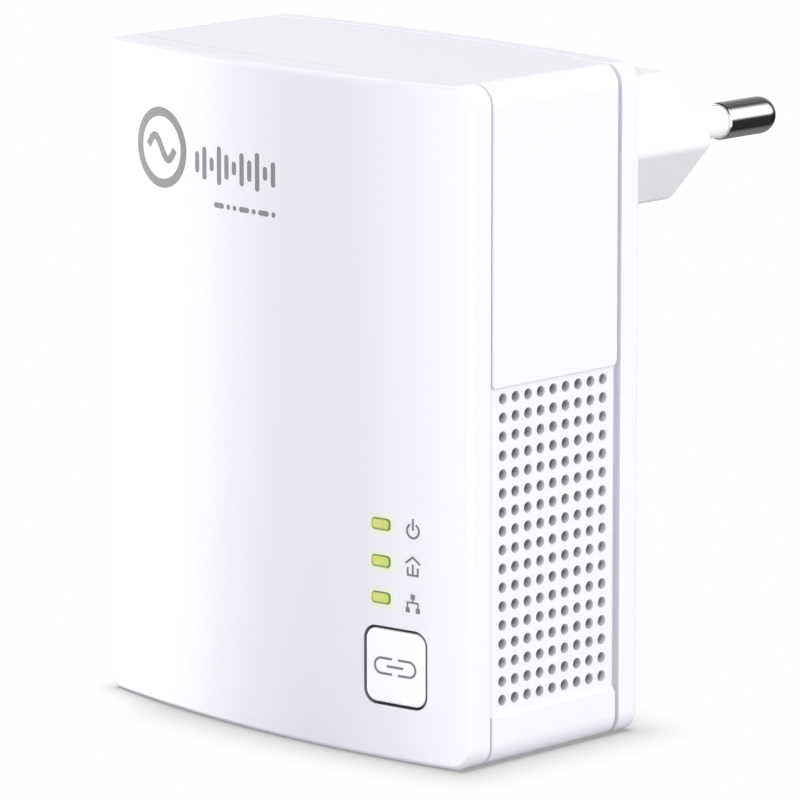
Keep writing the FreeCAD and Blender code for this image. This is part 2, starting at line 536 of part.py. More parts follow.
put("ethernet_jack_housing", jk)

sh = box(-JK_X - JK_SH, JK_X + JK_SH, JK_Y0, JK_Y1 + JK_SH, JK_Z0, JK_Z1 + JK_SH)
sh = sh.cut(box(-JK_X, JK_X, JK_Y0 - 1, JK_Y1, JK_Z0 - 1, JK_Z1))
for x in (-JK_X - JK_SH / 2, JK_X + JK_SH / 2):
    sh = fuse(sh, box(x - JK_SH / 2, x + JK_SH / 2, MB_Y1, JK_Y0, 11.5, 13.5))
put("ethernet_jack_shield", sh)

# sprung contact wires: up the slot, over the top, then slanting down into the bay
cons = []
for i in range(8):
    x = -4.445 + 1.27 * i
    zr = JP[i][1]
    w2 = cw / 2
    ypl = CAV_Y0 - 0.45
    rise = box(x - w2, x + w2, ypl - 0.2, ypl + 0.2, min(zr - 0.2, 13.0), 16.9)
    th = 0.3
    # slanted arm
    p = [V(x - w2, ypl - 0.2, 16.9), V(x - w2, ypl + 0.35, 16.9), V(x - w2, CAV_Y0 + 1.75, 8.2),
         V(x - w2, CAV_Y0 + 1.35, 8.0), V(x - w2, ypl - 0.2, 15.4)]
    arm = Part.Face(Part.makePolygon(p + [p[0]])).extrude(V(cw, 0, 0))
    tail = cyl_y(0.2, x, zr, MB_Y0 - 0.8, ypl)
    cons.append(fuse(rise, arm, tail))
put("ethernet_contacts", cons)

# ============================================================ power board
pb = rrect(-PB_X, PB_X, PB_Z0, PB_Z1, 1.0, PB_Y0, PB_Y1)
for sx in (-1, 1):
    pb = pb.cut(cyl_y(3.2, sx * COL_X, COL_Z1, -20, -5))
    pb = pb.cut(box(min(sx * COL_X, sx * 30), max(sx * COL_X, sx * 30), -20, -5, COL_Z1 - 3.2, 70))
    pb = pb.cut(cyl_y(1.15, sx * PP_X, PP_Z, -20, -5))
    pb = pb.cut(cyl_y(0.65, sx * PIN_X, PLUG_Z, -20, -5))
for i in range(HD_N):
    x = HD_X0 + i * HD_P
    pb = pb.cut(box(x - 0.32, x + 0.32, -20, -5, HD_Z - 0.32, HD_Z + 0.32))
put("power_board", pb)
put("power_board_screws", *[screw(sx * PP_X, PP_Z, PB_Y0, 1, 3.6, 1.3, 1.8, 4.6) for sx in (-1, 1)])

hdr = box(HD_X0 - 1.27, HD_X0 + (HD_N - 1) * HD_P + 1.27, MB_Y1, MB_Y1 + 2.5, HD_Z - 1.27, HD_Z + 1.27)
hpins = []
for i in range(HD_N):
    x = HD_X0 + i * HD_P
    b = box(x - 0.32, x + 0.32, MB_Y0 - 0.8, PB_Y1 + 0.8, HD_Z - 0.32, HD_Z + 0.32)
    hdr = hdr.cut(b)
    hpins.append(b)
put("header_body", hdr)
put("header_pins", *hpins)

F = PB_Y0          # components stand on the front of the power board


def radial_can(d, x, z0, z1, sleeve=True):
    """Lying electrolytic capacitor, axis along Z."""
    r = d / 2
    yc = F - r - 0.05
    c = Part.makeCylinder(r, z1 - z0, V(x, yc, z0))
    c = try_fillet(c, 0.5, [e for e in c.Edges if e.BoundBox.ZLength < 1e-6])
    ring = Part.makeTorus(r + 0.25, 0.55, V(x, yc, z0 + 1.8))
    c = c.cut(ring)
    return c


def lead_y(x, z, y0, y1, r=0.3):
    return cyl_y(r, x, z, y0, y1)


put("fuse", fuse(cyl_y(4.2, -17.3, 57.5, F - 8.0, F)))
va = cyl(4.0, (-10.3, F - 4.6, 61.6), (1, 0, 0), 4.0)
va = try_fillet(va, 1.2, [e for e in va.Edges if e.BoundBox.XLength < 1e-6])
put("varistor", fuse(va, lead_y(-9.4, 61.6, F - 3, F), lead_y(-7.2, 61.6, F - 3, F)))
xc_ = box(-4.8, 8.2, F - 9.0, F, 59.6, 64.8)
put("x_capacitor", try_fillet(xc_, 0.5, xc_.Edges))
# common-mode choke: ferrite ring standing on edge in its winding
CKX, CKZ = 15.5, 57.9
ring = cyl_y(4.6, CKX, CKZ, F - 7.0, F - 2.0).cut(cyl_y(2.1, CKX, CKZ, F - 8, F - 1))
put("choke_core", ring)
put("choke_base", box(CKX - 5.3, CKX + 5.3, F - 0.9, F, CKZ - 5.3, CKZ + 5.3))
wind = []
for s in (-1, 1):
    for k in range(6):
        a = math.radians(s * (90 - 50 + 20 * k) if s > 0 else -(90 - 50 + 20 * k))
        ca, sa = math.cos(a), math.sin(a)
        # one turn: a rounded loop round the ring section
        p0 = V(CKX + 1.55 * ca, 0, CKZ + 1.55 * sa)
        loop = Part.makeBox(3.65, 6.1, 0.62, V(0, 0, -0.31))
        hole = Part.makeBox(2.56, 5.02, 2.0, V(0.545, 0.54, -1))
        turn = loop.cut(hole)
        turn.rotate(V(0, 0, 0), V(0, 1, 0), -math.degrees(a))
        turn.translate(V(CKX + 1.5 * ca, F - 7.55, CKZ + 1.5 * sa))
        wind.append(turn)
put("choke_winding", wind)

for_caps = [radial_can(8.0, -14.6, 41.6, 53.0), radial_can(8.0, -6.2, 41.6, 53.0)]
put("bulk_capacitors", *for_caps)
br = box(-1.0, 3.8, F - 2.5, F, 52.0, 56.6)
put("bridge_rectifier", br)
put("switching_chip", box(-1.2, 3.8, F - 1.6, F, 43.0, 47.0))
# flyback transformer: bobbin, winding, two ferrite halves
TX, TZ = 11.3, 46.6
put("transformer_bobbin", fuse(
    box(TX - 5.2, TX + 5.2, F - 1.4, F, TZ - 5.6, TZ + 5.6),
    box(TX - 5.2, TX + 5.2, F - 8.6, F - 7.6, TZ - 4.4, TZ + 4.4),
    cyl_y(2.6, TX, TZ, F - 7.8, F - 1.2)).cut(cyl_y(1.7, TX, TZ, F - 10, F + 1)))
put("transformer_winding", cyl_y(4.2, TX, TZ, F - 7.6, F - 1.4).cut(cyl_y(2.6, TX, TZ, F - 9, F)))
core = fuse(box(TX - 6.3, TX + 6.3, F - 9.3, F - 8.6, TZ - 2.4, TZ + 2.4),
            box(TX - 6.3, TX - 5.2, F - 9.3, F - 1.4, TZ - 2.4, TZ + 2.4),
            box(TX + 5.2, TX + 6.3, F - 9.3, F - 1.4, TZ - 2.4, TZ + 2.4),
            cyl_y(1.7, TX, TZ, F - 9.0, F - 0.2))
put("transformer_core", core)

yc_ = cyl(3.6, (-20.2, F - 4.2, 36.4), (1, 0, 0), 3.6)
yc_ = try_fillet(yc_, 1.0, [e for e in yc_.Edges if e.BoundBox.XLength < 1e-6])
put("y_capacitor", fuse(yc_, lead_y(-19.4, 36.4, F - 3, F), lead_y(-17.4, 36.4, F - 3, F)))
put("optocoupler", box(-13.4, -8.8, F - 3.5, F, 33.6, 40.2))
put("output_capacitors", radial_can(6.3, 4.6, 27.6, 38.6), radial_can(6.3, 11.4, 27.6, 38.6))
put("output_diode", box(16.0, 20.4, F - 2.2, F, 37.4, 40.2))
dr = fuse(cyl_y(3.2, 18.6, 31.4, F - 1.2, F), cyl_y(2.2, 18.6, 31.4, F - 6.0, F), cyl_y(3.2, 18.6, 31.4, F - 7.2, F - 6.0))
put("inductor_core", dr)
put("inductor_winding", cyl_y(3.0, 18.6, 31.4, F - 6.0, F - 1.2).cut(cyl_y(2.2, 18.6, 31.4, F - 9, F + 1)))
ct = box(-7.2, 0.8, F - 7.4, F, 29.2, 37.4)
put("coupling_transformer", try_fillet(ct, 0.4, ct.Edges))
cc = box(-8.3, 1.0, F - 8.4, F, 26.0, 28.8)
put("coupling_capacitor", try_fillet(cc, 0.4, cc.Edges))

# insulating sheet between mains parts and the main board
ins = box(-23.6, 23.6, MB_Y1 + 0.02, MB_Y1 + 0.27, 29.2, 62.0)
put("insulation_sheet", ins)

# ================================================================== export
os.makedirs("parts", exist_ok=True)
for name, parts in NODES.items():
    shape = parts[0] if len(parts) == 1 else Part.makeCompound(parts)
    bad = [i for i, s in enumerate(parts) if not s.isValid() or s.Volume <= 0]
    bb = shape.BoundBox
    print("%-24s n=%d vol=%.2f  X %.2f..%.2f Y %.2f..%.2f Z %.2f..%.2f %s" % (
        name, len(parts), sum(s.Volume for s in parts), bb.XMin, bb.XMax, bb.YMin, bb.YMax,
        bb.ZMin, bb.ZMax, "BAD %s" % bad if bad else ""))
    shape.exportStep("parts/%s.step" % name)
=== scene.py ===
import math

import bmesh
import bpy
from mathutils import Matrix, Vector


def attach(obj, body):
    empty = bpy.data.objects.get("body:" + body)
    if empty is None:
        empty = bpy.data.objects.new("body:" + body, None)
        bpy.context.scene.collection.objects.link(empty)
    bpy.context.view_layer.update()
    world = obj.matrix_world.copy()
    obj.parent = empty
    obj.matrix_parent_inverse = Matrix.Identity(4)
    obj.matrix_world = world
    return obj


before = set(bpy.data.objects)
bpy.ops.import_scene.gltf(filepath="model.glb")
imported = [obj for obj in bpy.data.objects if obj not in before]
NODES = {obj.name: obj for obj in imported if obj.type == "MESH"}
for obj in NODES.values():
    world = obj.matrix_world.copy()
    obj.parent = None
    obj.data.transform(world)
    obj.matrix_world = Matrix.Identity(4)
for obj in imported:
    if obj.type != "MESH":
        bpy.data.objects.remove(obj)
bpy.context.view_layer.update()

MM = 0.001

# ------------------------------------------------------------------ camera
cam_data = bpy.data.cameras.new("camera")
cam = bpy.data.objects.new("camera", cam_data)
bpy.context.scene.collection.objects.link(cam)
RIGHT = Vector((0.709493128, 0.704712056, -0.000647746)).normalized()
UP = Vector((-0.13801767, 0.13985529, 0.9805058)).normalized()
BACK = RIGHT.cross(UP).normalized()
UP = BACK.cross(RIGHT).normalized()
LOC = Vector((0.47921074, -0.49591821, 0.16855256)) + UP * 0.000085 - RIGHT * 0.000010
cam.matrix_world = Matrix((
    (RIGHT.x, UP.x, BACK.x, LOC.x),
    (RIGHT.y, UP.y, BACK.y, LOC.y),
    (RIGHT.z, UP.z, BACK.z, LOC.z),
    (0, 0, 0, 1)))
cam_data.sensor_width = 36.0
cam_data.lens = 298.114
cam_data.clip_start, cam_data.clip_end = 0.01, 20.0
bpy.context.scene.camera = cam
bpy.context.scene.view_settings.view_transform = "Standard"
bpy.context.scene.view_settings.look = "None"
bpy.context.scene.view_settings.exposure = 0.0
bpy.context.scene.view_settings.gamma = 1.0


# ------------------------------------------------------------ node helpers
class Tree:
    """Small helper for building a node tree in code."""

    def __init__(self, nt):
        self.nt = nt
        nt.nodes.clear()

    def add(self, kind, **values):
        n = self.nt.nodes.new(kind)
        for k, v in values.items():
            setattr(n, k, v)
        return n

    def link(self, a, b):
        self.nt.links.new(a, b)

    def put(self, socket, value):
        if isinstance(value, bpy.types.NodeSocket):
            self.nt.links.new(value, socket)
        elif value is not None:
            socket.default_value = value

    def math(self, op, a, b=None, c=None, clamp=False):
        n = self.add("ShaderNodeMath", operation=op, use_clamp=clamp)
        for s, v in zip(n.inputs, (a, b, c)):
            self.put(s, v)
        return n.outputs[0]

    def step(self, value, lo, hi):
        """0 below lo, 1 above hi, smooth between."""
        n = self.add("ShaderNodeMapRange", interpolation_type="SMOOTHSTEP", clamp=True)
        self.put(n.inputs["Value"], value)
        n.inputs["From Min"].default_value = lo
        n.inputs["From Max"].default_value = hi
        return n.outputs["Result"]

    def scale(self, value, a, b, lo=0.0, hi=1.0):
        n = self.add("ShaderNodeMapRange", clamp=True)
        self.put(n.inputs["Value"], value)
        n.inputs["From Min"].default_value = lo
        n.inputs["From Max"].default_value = hi
        n.inputs["To Min"].default_value = a
        n.inputs["To Max"].default_value = b
        return n.outputs["Result"]

    def mix(self, fac, a, b, blend="MIX"):
        n = self.add("ShaderNodeMix", data_type="RGBA", blend_type=blend)
        self.put(n.inputs["Factor"], fac)
        self.put(n.inputs[6], a if isinstance(a, bpy.types.NodeSocket) else rgba(a))
        self.put(n.inputs[7], b if isinstance(b, bpy.types.NodeSocket) else rgba(b))
        return n.outputs[2]

    def xyz(self):
        """The point's place in the row frame, in millimetres."""
        if not hasattr(self, "_xyz"):
            tc = self.add("ShaderNodeTexCoord")
            v = self.add("ShaderNodeVectorMath", operation="SCALE")
            self.link(tc.outputs["Object"], v.inputs[0])
            v.inputs["Scale"].default_value = 1000.0
            s = self.add("ShaderNodeSeparateXYZ")
            self.link(v.outputs[0], s.inputs[0])
            self._vec = v.outputs[0]
            self._xyz = (s.outputs[0], s.outputs[1], s.outputs[2])
        return self._xyz

    def vec(self):
        self.xyz()
        return self._vec

    def noise(self, scale, detail=2.0, rough=0.5, stretch=None):
        """Noise with features of about 1/scale millimetres."""
        v = self.vec()
        if stretch:
            m = self.add("ShaderNodeVectorMath", operation="MULTIPLY")
            self.link(v, m.inputs[0])
            m.inputs[1].default_value = stretch
            v = m.outputs[0]
        n = self.add("ShaderNodeTexNoise")
        self.link(v, n.inputs["Vector"])
        n.inputs["Scale"].default_value = scale
        n.inputs["Detail"].default_value = detail
        n.inputs["Roughness"].default_value = rough
        return n.outputs["Fac"]


def rgba(c):
    return (c[0], c[1], c[2], c[3] if len(c) > 3 else 1.0)


def principled(name):
    m = bpy.data.materials.new(name)
    m.use_nodes = True
    t = Tree(m.node_tree)
    out = t.add("ShaderNodeOutputMaterial")
    p = t.add("ShaderNodeBsdfPrincipled")
    t.link(p.outputs[0], out.inputs["Surface"])
    return m, t, p


def bump(t, p, height, strength, distance_mm):
    b = t.add("ShaderNodeBump")
    b.inputs["Strength"].default_value = strength
    b.inputs["Distance"].default_value = distance_mm * MM
    t.link(height, b.inputs["Height"])
    t.link(b.outputs[0], p.inputs["Normal"])
    return b


def simple(name, colour, rough=0.5, metallic=0.0, spread=0.05, grain=4.0, height=0.004,
           rough_spread=0.06, ior=1.5):
    """Moulded plastic, coated or bare metal: colour and roughness vary softly, with a fine surface grain."""
    m, t, p = principled(name)
    big = t.noise(0.35, 3.0)
    lo = [c * (1 - spread) for c in colour[:3]]
    hi = [min(1.0, c * (1 + spread)) for c in colour[:3]]
    t.put(p.inputs["Base Color"], t.mix(big, lo, hi))
    t.put(p.inputs["Roughness"], t.scale(t.noise(1.3, 2.0), max(0.02, rough - rough_spread), rough + rough_spread))
    p.inputs["Metallic"].default_value = metallic
    p.inputs["IOR"].default_value = ior
    bump(t, p, t.noise(grain, 3.0), 0.35, height)
    return m


# ------------------------------------------------------------ casing finish
W = 53.5
Y_FRONT, SAG_FRONT = -30.60, 2.825
ARC_R = ((W / 2) ** 2 + SAG_FRONT ** 2) / (2 * SAG_FRONT)
Y_SEAM, SAG_SEAM = -27.50, 1.80
LED_X = 16.0
LED_Z = (24.49, 20.65, 16.84)
LED_W, LED_H = 2.45, 1.35
SHELL = (0.775, 0.770, 0.830)


BX, BZ = 17.73, 9.82
BTN_W, BTN_H, BTN_R, BTN_GAP = 7.50, 7.76, 1.30, 0.25


def rounded(t, x, z, cx, cz, w, h, r):
    """Distance outside a rounded rectangle in XZ, negative inside."""
    qx = t.math("SUBTRACT", t.math("ABSOLUTE", t.math("SUBTRACT", x, cx)), w / 2 - r)
    qz = t.math("SUBTRACT", t.math("ABSOLUTE", t.math("SUBTRACT", z, cz)), h / 2 - r)
    ox, oz = t.math("MAXIMUM", qx, 0.0), t.math("MAXIMUM", qz, 0.0)
    out = t.math("SQRT", t.math("ADD", t.math("MULTIPLY", ox, ox), t.math("MULTIPLY", oz, oz)))
    ins = t.math("MINIMUM", t.math("MAXIMUM", qx, qz), 0.0)
    return t.math("SUBTRACT", t.math("ADD", out, ins), r)


def shell_material(name, colour, halo=False, grille=False, rough=0.24, cap=False, spigot=False, seam=0):
    m, t, p = principled(name)
    x, y, z = t.xyz()
    cloud = t.noise(0.05, 2.0)
    lo = [c * 0.992 for c in colour]
    hi = [c * 1.008 for c in colour]
    base = t.mix(cloud, lo, hi)
    r = t.scale(t.noise(0.8, 2.0), rough - 0.02, rough + 0.03)
    micro = t.noise(5.0, 2.0)
    if grille:
        ax = t.math("ABSOLUTE", x)
        inset = t.math("MULTIPLY", t.step(ax, 26.30, 26.40), t.math("SUBTRACT", 1.0, t.step(ax, 26.52, 26.62)))
        zone = t.math("MULTIPLY", t.step(z, 5.25, 5.35), t.math("SUBTRACT", 1.0, t.step(z, 39.05, 39.2)))
        mask = t.math("MULTIPLY", inset, zone)
        r = t.math("ADD", r, t.math("MULTIPLY", mask, 0.28))
        grain = t.noise(9.0, 3.0, 0.7)
        amount = t.math("MULTIPLY", mask, 0.9)
        micro = t.math("ADD", t.math("MULTIPLY", micro, 0.12), t.math("MULTIPLY", grain, amount))
        base = t.mix(t.math("MULTIPLY", mask, 0.8), base, [c * 0.95 for c in colour])
        # inside the vent holes: painted shade, dark below the upper edge and lighter on the lower wall
        row = t.math("SUBTRACT", t.math("FRACT", t.math("ADD", t.math("DIVIDE", t.math("SUBTRACT", z, 6.77), 1.947), 0.5)), 0.5)
        lowness = t.step(t.math("MULTIPLY", row, -1.0), -0.16, 0.34)
        deep = t.math("MULTIPLY", t.math("SUBTRACT", 1.0, t.step(ax, 25.5, 26.43)), zone)
        painted_hole_shade = t.mix(lowness, [c * 0.27 for c in colour], [c * 0.74 for c in colour])
        base = t.mix(deep, base, painted_hole_shade)
    else:
        micro = t.math("MULTIPLY", micro, 0.12)
    if halo:
        # painted light: around each LED window the shell's colour is pushed towards yellow-green and given a faint
        # emission, a painted glow from the LEDs
        near = None
        for lz in LED_Z:
            d = t.math("MAXIMUM", rounded(t, x, z, LED_X, lz, LED_W, LED_H, 0.45), 0.0)
            g = t.math("POWER", 2.718, t.math("MULTIPLY", t.math("MULTIPLY", d, d), -5.5))
            near = g if near is None else t.math("ADD", near, g)
        front = t.math("SUBTRACT", 1.0, t.step(y, -30.6, -30.3))
        glow = t.math("MULTIPLY", near, front, clamp=True)
        base = t.mix(t.math("MULTIPLY", glow, 0.58), base, (0.74, 0.79, 0.42))
        t.put(p.inputs["Emission Color"], t.mix(glow, (0.0, 0.0, 0.0), (0.9, 1.0, 0.35)))
        t.put(p.inputs["Emission Strength"], t.math("MULTIPLY", glow, 0.015))
        # the walls of the button hole lie in deep shade
        dh = rounded(t, x, z, BX, BZ, BTN_W + 2 * BTN_GAP, BTN_H + 2 * BTN_GAP, BTN_R + BTN_GAP)
        xs = t.math("SUBTRACT", ARC_R, t.math("SQRT", t.math("SUBTRACT", ARC_R * ARC_R, t.math("MULTIPLY", x, x))))
        depth = t.math("SUBTRACT", y, t.math("ADD", xs, Y_FRONT - SAG_FRONT))
        wall = t.math("MULTIPLY", t.math("SUBTRACT", 1.0, t.step(dh, 0.005, 0.03)), t.step(depth, 0.02, 0.10))
        base = t.mix(wall, base, (0.26, 0.26, 0.27))
    if cap:
        # below its rounded edge the button's sides lie in deep shade
        xs = t.math("SUBTRACT", ARC_R, t.math("SQRT", t.math("SUBTRACT", ARC_R * ARC_R, t.math("MULTIPLY", x, x))))
        depth = t.math("SUBTRACT", y, t.math("ADD", xs, Y_FRONT - SAG_FRONT))
        side = t.step(depth, 0.03, 0.12)
        base = t.mix(side, base, (0.26, 0.26, 0.27))
    if seam:
        # the narrow joint between front cover and housing holds shade
        q = t.math("DIVIDE", x, 26.75)
        ys = t.math("ADD", t.math("MULTIPLY", t.math("MULTIPLY", q, q), SAG_SEAM), Y_SEAM - SAG_SEAM)
        off = t.math("MULTIPLY", t.math("SUBTRACT", y, ys), float(seam))
        near_seam = t.math("SUBTRACT", 1.0, t.step(off, 0.12, 0.45))
        base = t.mix(t.math("MULTIPLY", near_seam, 0.50), base, [c * 0.30 for c in colour])
    if spigot:
        # the part of the rear cover behind the last vent rows lies in shade
        ax = t.math("ABSOLUTE", x)
        sh = t.math("MULTIPLY", t.math("SUBTRACT", 1.0, t.step(ax, 25.8, 26.0)), t.math("SUBTRACT", 1.0, t.step(y, -9.9, -9.2)))
        base = t.mix(t.math("MULTIPLY", sh, 0.75), base, [c * 0.25 for c in colour])
        # the plug boss catches more of the room's light
        base = t.mix(t.step(y, -3.4, 0.5), base, (0.82, 0.818, 0.845))
    t.put(p.inputs["Base Color"], base)
    t.put(p.inputs["Roughness"], r)
    p.inputs["IOR"].default_value = 1.5
    bump(t, p, micro, 0.5, 0.01)
    return m


def light_pipe_material(name):
    m, t, p = principled(name)
    x, y, z = t.xyz()
    outer = inner = None
    for lz in LED_Z:
        o = t.math("MULTIPLY", rounded(t, x, z, LED_X - 0.02, lz + 0.06, LED_W - 0.06, 1.23, 0.40), -1.0)
        i = t.math("MULTIPLY", rounded(t, x, z, LED_X - 0.10, lz + 0.03, LED_W - 0.30, 1.02, 0.34), -1.0)
        outer = o if outer is None else t.math("MAXIMUM", outer, o)
        inner = i if inner is None else t.math("MAXIMUM", inner, i)
    lit = t.step(inner, -0.07, 0.16)
    soft = t.noise(1.2, 2.0)
    across = t.step(x, LED_X - 0.6, LED_X + 1.2)
    core = t.mix(across, (0.68, 0.73, 0.17), (0.56, 0.66, 0.135))
    core = t.mix(t.math("MULTIPLY", soft, 0.3), core, (0.60, 0.68, 0.16))
    colour = t.mix(lit, (0.065, 0.175, 0.035), core)
    colour = t.mix(t.step(outer, -0.06, 0.02), (0.66, 0.74, 0.34), colour)
    front = t.math("SUBTRACT", 1.0, t.step(y, -31.4, -30.6))
    t.put(p.inputs["Base Color"], t.mix(front, (0.55, 0.62, 0.45), t.mix(0.55, colour, (0.0, 0.0, 0.0))))
    t.put(p.inputs["Emission Color"], colour)
    t.put(p.inputs["Emission Strength"], t.math("MULTIPLY", front, 0.44))
    t.put(p.inputs["Roughness"], t.scale(soft, 0.18, 0.28))
    bump(t, p, t.noise(3.0, 2.0), 0.2, 0.01)
    return m


def plated_pin(name):
    """Nickel plated, turned metal: very fine rings round the axis and light handling marks."""
    m, t, p = principled(name)
    rings = t.noise(2.2, 3.0, 0.6, stretch=(0.4, 9.0, 0.4))
    marks = t.noise(0.9, 4.0)
    t.put(p.inputs["Base Color"], t.mix(marks, (0.56, 0.555, 0.56), (0.66, 0.655, 0.65)))
    t.put(p.inputs["Roughness"], t.scale(rings, 0.08, 0.15))
    p.inputs["Metallic"].default_value = 1.0
    bump(t, p, rings, 0.25, 0.004)
    return m


def board_material(name):
    """Green solder mask over copper tracks, with small tinned pads."""
    m, t, p = principled(name)
    v = t.vec()
    br = t.add("ShaderNodeTexBrick")
    mp = t.add("ShaderNodeMapping")
    mp.inputs["Rotation"].default_value = (math.radians(90), 0, 0)
    t.link(v, mp.inputs["Vector"])
    t.link(mp.outputs[0], br.inputs["Vector"])
    br.inputs["Scale"].default_value = 0.55
    br.inputs["Mortar Size"].default_value = 0.06
    br.inputs["Mortar Smooth"].default_value = 0.1
    br.offset_frequency, br.squash_frequency, br.squash = 3, 4, 0.6
    tracks = br.outputs["Fac"]
    vor = t.add("ShaderNodeTexVoronoi", feature="F1")
    t.link(v, vor.inputs["Vector"])
    vor.inputs["Scale"].default_value = 0.55
    pad = t.math("SUBTRACT", 1.0, t.step(vor.outputs["Distance"], 0.16, 0.19))
    green = t.mix(t.noise(0.3, 2.0), (0.010, 0.085, 0.035), (0.016, 0.12, 0.05))
    green = t.mix(t.math("MULTIPLY", tracks, 0.6), green, (0.035, 0.20, 0.08))
    t.put(p.inputs["Base Color"], t.mix(pad, green, (0.62, 0.60, 0.56)))
    t.put(p.inputs["Roughness"], t.scale(t.noise(1.0), 0.28, 0.42))
    bump(t, p, t.math("ADD", tracks, pad), 0.5, 0.03)
    return m


def winding_material(name, colour, pitch=3.2, metallic=0.0, rough=0.35):
    """Close turns of wire or tape, as fine ridges."""
    m, t, p = principled(name)
    w = t.add("ShaderNodeTexWave", wave_type="BANDS", bands_direction="Y")
    t.link(t.vec(), w.inputs["Vector"])
    w.inputs["Scale"].default_value = pitch / 2
    w.inputs["Distortion"].default_value = 0.6
    w.inputs["Detail"].default_value = 1.0
    lo = [c * 0.62 for c in colour]
    t.put(p.inputs["Base Color"], t.mix(w.outputs["Fac"], lo, colour))
    t.put(p.inputs["Roughness"], t.scale(t.noise(2.0), rough - 0.08, rough + 0.1))
    p.inputs["Metallic"].default_value = metallic
    bump(t, p, w.outputs["Fac"], 0.7, 0.12)
    return m


def sleeve_material(name, colour):
    """Printed shrink sleeve of a can capacitor with a lighter stripe."""
    m, t, p = principled(name)
    x, y, z = t.xyz()
    stripe = t.step(t.math("SINE", t.math("MULTIPLY", x, 0.78)), 0.86, 0.9)
    base = t.mix(t.noise(0.6), [c * 0.85 for c in colour], colour)
    t.put(p.inputs["Base Color"], t.mix(t.math("MULTIPLY", stripe, 0.7), base, (0.55, 0.58, 0.62)))
    t.put(p.inputs["Roughness"], t.scale(t.noise(1.6), 0.22, 0.36))
    bump(t, p, t.noise(2.0, 2.0), 0.3, 0.02)
    return m


def brushed(name, colour, rough=0.32, along="X"):
    m, t, p = principled(name)
    s = {"X": (0.4, 8.0, 8.0), "Y": (8.0, 0.4, 8.0), "Z": (8.0, 8.0, 0.4)}[along]
    lines = t.noise(1.0, 3.0, 0.6, stretch=s)
    t.put(p.inputs["Base Color"], t.mix(lines, [c * 0.86 for c in colour], colour))
    t.put(p.inputs["Roughness"], t.scale(lines, rough - 0.08, rough + 0.1))
    p.inputs["Metallic"].default_value = 1.0
    bump(t, p, lines, 0.35, 0.01)
    return m


def label_material(name):
    """Silver-grey film, blank, with a fine printed border and ruled blank fields."""
    m, t, p = principled(name)
    x, y, z = t.xyz()
    ax = t.math("ABSOLUTE", x)
    az = t.math("ABSOLUTE", t.math("SUBTRACT", z, 25.0))
    bx = t.math("MULTIPLY", t.step(ax, 16.25, 16.30), t.math("SUBTRACT", 1.0, t.step(ax, 16.45, 16.50)))
    bx = t.math("MULTIPLY", bx, t.math("SUBTRACT", 1.0, t.step(az, 14.90, 14.95)))
    bz = t.math("MULTIPLY", t.step(az, 14.70, 14.75), t.math("SUBTRACT", 1.0, t.step(az, 14.90, 14.95)))
    bz = t.math("MULTIPLY", bz, t.math("SUBTRACT", 1.0, t.step(ax, 16.45, 16.50)))
    line = t.math("MAXIMUM", bx, bz)
    for zr in (18.0, 32.0):
        d = t.math("ABSOLUTE", t.math("SUBTRACT", z, zr))
        rule = t.math("MULTIPLY", t.math("SUBTRACT", 1.0, t.step(d, 0.08, 0.12)),
                      t.math("SUBTRACT", 1.0, t.step(ax, 14.4, 14.5)))
        line = t.math("MAXIMUM", line, rule)
    base = t.mix(t.noise(0.5, 3.0), (0.60, 0.61, 0.63), (0.66, 0.67, 0.69))
    t.put(p.inputs["Base Color"], t.mix(t.math("MULTIPLY", line, 0.8), base, (0.16, 0.16, 0.17)))
    t.put(p.inputs["Roughness"], t.scale(t.noise(3.0), 0.38, 0.50))
    bump(t, p, t.noise(7.0, 2.0), 0.2, 0.006)
    return m


MAT = {
    "front": shell_material("shell_front", SHELL, halo=True),
    "mid": shell_material("shell_mid", SHELL, grille=True, seam=1),
    "rear": shell_material("shell_rear", SHELL, spigot=True),
    "button": shell_material("shell_button", (0.90, 0.895, 0.93), rough=0.26, cap=True),
    "pipe": light_pipe_material("light_pipe_lit"),
    "pin": plated_pin("pin_plating"),
    "sleeve": simple("pin_sleeve_white", (0.88, 0.88, 0.91), 0.42, spread=0.02, height=0.006),
    "label": label_material("label_film"),
    "inner_black": simple("moulding_black", (0.018, 0.018, 0.020), 0.42),
    "jack_black": simple("socket_moulding", (0.030, 0.030, 0.033), 0.36),
    "plunger": simple("plunger_moulding", (0.030, 0.030, 0.034), 0.40),
    "sheet": simple("insulating_paper", (0.20, 0.21, 0.22), 0.55, grain=2.0),
    "steel": brushed("zinc_plated_steel", (0.62, 0.62, 0.63), 0.34, "Y"),
    "shield": brushed("socket_shield_steel", (0.66, 0.66, 0.67), 0.30, "Z"),
    "gold": brushed("gold_flashed", (0.83, 0.60, 0.22), 0.24, "Z"),
    "brass": brushed("brass_plain", (0.72, 0.54, 0.25), 0.34, "Y"),
    "board": board_material("solder_mask"),
    "led": simple("led_package", (0.80, 0.85, 0.55), 0.30),
    "chip": simple("chip_package", (0.022, 0.022, 0.024), 0.48, grain=5.0),
    "sink": brushed("heat_sink_aluminium", (0.62, 0.62, 0.64), 0.38, "Z"),
    "pad": simple("thermal_pad_silicone", (0.16, 0.19, 0.27), 0.65),
    "ferrite": simple("ferrite_dark", (0.040, 0.040, 0.043), 0.55, grain=3.0, height=0.02),
    "copper": winding_material("enamelled_copper", (0.62, 0.27, 0.11), 4.0, 1.0, 0.28),
    "tape": winding_material("winding_tape", (0.72, 0.55, 0.08), 0.9, 0.0, 0.36),
    "cap": sleeve_material("capacitor_sleeve_dark", (0.025, 0.032, 0.070)),
    "film": simple("film_capacitor_case", (0.55, 0.40, 0.07), 0.36),
    "disc": simple("dipped_coating_blue", (0.03, 0.09, 0.30), 0.34, height=0.03, grain=1.5),
    "bobbin": simple("bobbin_moulding", (0.035, 0.033, 0.032), 0.45),
    "fusecase": simple("fuse_case", (0.09, 0.07, 0.06), 0.40),
    "crystal": brushed("crystal_can", (0.70, 0.70, 0.71), 0.26, "X"),
}

